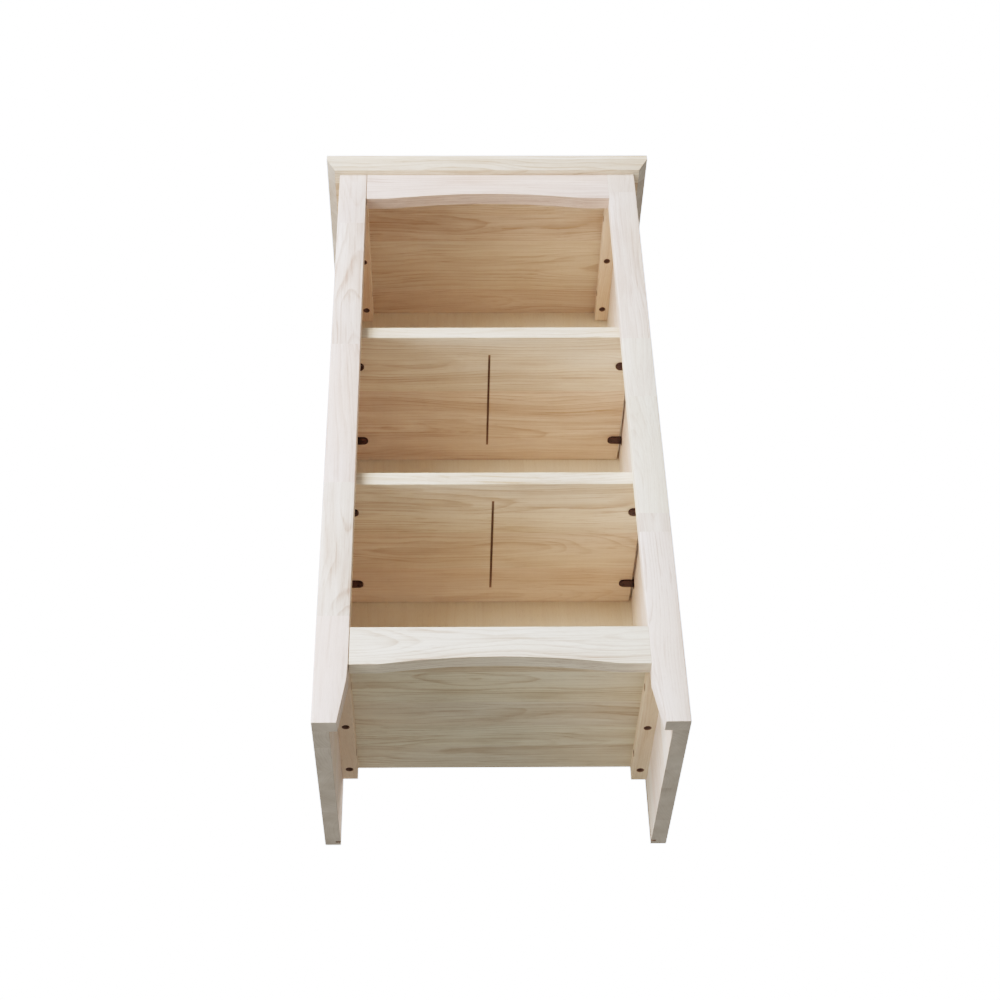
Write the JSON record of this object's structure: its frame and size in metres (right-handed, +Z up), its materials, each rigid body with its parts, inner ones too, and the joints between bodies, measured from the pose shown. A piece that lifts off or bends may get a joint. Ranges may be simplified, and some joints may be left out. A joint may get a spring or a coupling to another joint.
{
  "type": "bookcase",
  "caption": "Narrow open bookcase in bare hardwood: face frame with arched rails, overhanging bevelled top, thin back and two adjustable shelves on pull-out supports.",
  "frame": {"origin": "on the floor, at the middle of the overall width and depth", "axes": "+Z up, -Y out of the open front, +X to the right as seen from the front"},
  "size_m": [0.451, 0.305, 0.9144],
  "materials": {
    "board_wood": "bare sanded hardwood, edge-glued staves",
    "frame_wood": "bare sanded hardwood, finger-jointed blocks",
    "cleat_wood": "bare planed hardwood",
    "back_plywood": "bare thin plywood",
    "dowel_wood": "bare hardwood dowel",
    "screw_steel": "dull yellow-zinc steel",
    "brad_steel": "bright drawn steel",
    "support_bronze": "dark bronze satin"
  },
  "bodies": {
    "case": {"top_board": "board_wood", "left_side_panel": "board_wood", "right_side_panel": "board_wood", "bottom_panel": "board_wood", "left_stile": "frame_wood", "right_stile": "frame_wood", "top_rail": "frame_wood", "bottom_rail": "frame_wood", "back_panel": "back_plywood", "top_left_cleat": "cleat_wood", "top_right_cleat": "cleat_wood", "bottom_left_cleat": "cleat_wood", "bottom_right_cleat": "cleat_wood", "top_left_cleat_screws": "screw_steel", "top_right_cleat_screws": "screw_steel", "bottom_left_cleat_screws": "screw_steel", "bottom_right_cleat_screws": "screw_steel", "top_rail_dowels": "dowel_wood", "bottom_rail_dowels": "dowel_wood", "back_panel_brads": "brad_steel"},
    "upper_shelf": {"upper_shelf": "board_wood"},
    "lower_shelf": {"lower_shelf": "board_wood"},
    "upper_left_front_support": {"upper_left_front_support": "support_bronze"},
    "upper_left_rear_support": {"upper_left_rear_support": "support_bronze"},
    "upper_right_front_support": {"upper_right_front_support": "support_bronze"},
    "upper_right_rear_support": {"upper_right_rear_support": "support_bronze"},
    "lower_left_front_support": {"lower_left_front_support": "support_bronze"},
    "lower_left_rear_support": {"lower_left_rear_support": "support_bronze"},
    "lower_right_front_support": {"lower_right_front_support": "support_bronze"},
    "lower_right_rear_support": {"lower_right_rear_support": "support_bronze"}
  },
  "joints": [
    {"name": "upper_shelf_lift", "type": "slide", "parent": "case", "child": "upper_shelf", "axis": [0, 0, 1], "range_m": [0, 0.252]},
    {"name": "lower_shelf_lift", "type": "slide", "parent": "case", "child": "lower_shelf", "axis": [0, 0, 1], "range_m": [0, 0.215]},
    {"name": "upper_left_front_pull", "type": "slide", "parent": "case", "child": "upper_left_front_support", "axis": [1, 0, 0], "range_m": [0, 0.012]},
    {"name": "upper_left_rear_pull", "type": "slide", "parent": "case", "child": "upper_left_rear_support", "axis": [1, 0, 0], "range_m": [0, 0.012]},
    {"name": "upper_right_front_pull", "type": "slide", "parent": "case", "child": "upper_right_front_support", "axis": [-1, 0, 0], "range_m": [0, 0.012]},
    {"name": "upper_right_rear_pull", "type": "slide", "parent": "case", "child": "upper_right_rear_support", "axis": [-1, 0, 0], "range_m": [0, 0.012]},
    {"name": "lower_left_front_pull", "type": "slide", "parent": "case", "child": "lower_left_front_support", "axis": [1, 0, 0], "range_m": [0, 0.012]},
    {"name": "lower_left_rear_pull", "type": "slide", "parent": "case", "child": "lower_left_rear_support", "axis": [1, 0, 0], "range_m": [0, 0.012]},
    {"name": "lower_right_front_pull", "type": "slide", "parent": "case", "child": "lower_right_front_support", "axis": [-1, 0, 0], "range_m": [0, 0.012]},
    {"name": "lower_right_rear_pull", "type": "slide", "parent": "case", "child": "lower_right_rear_support", "axis": [-1, 0, 0], "range_m": [0, 0.012]}
  ]
}
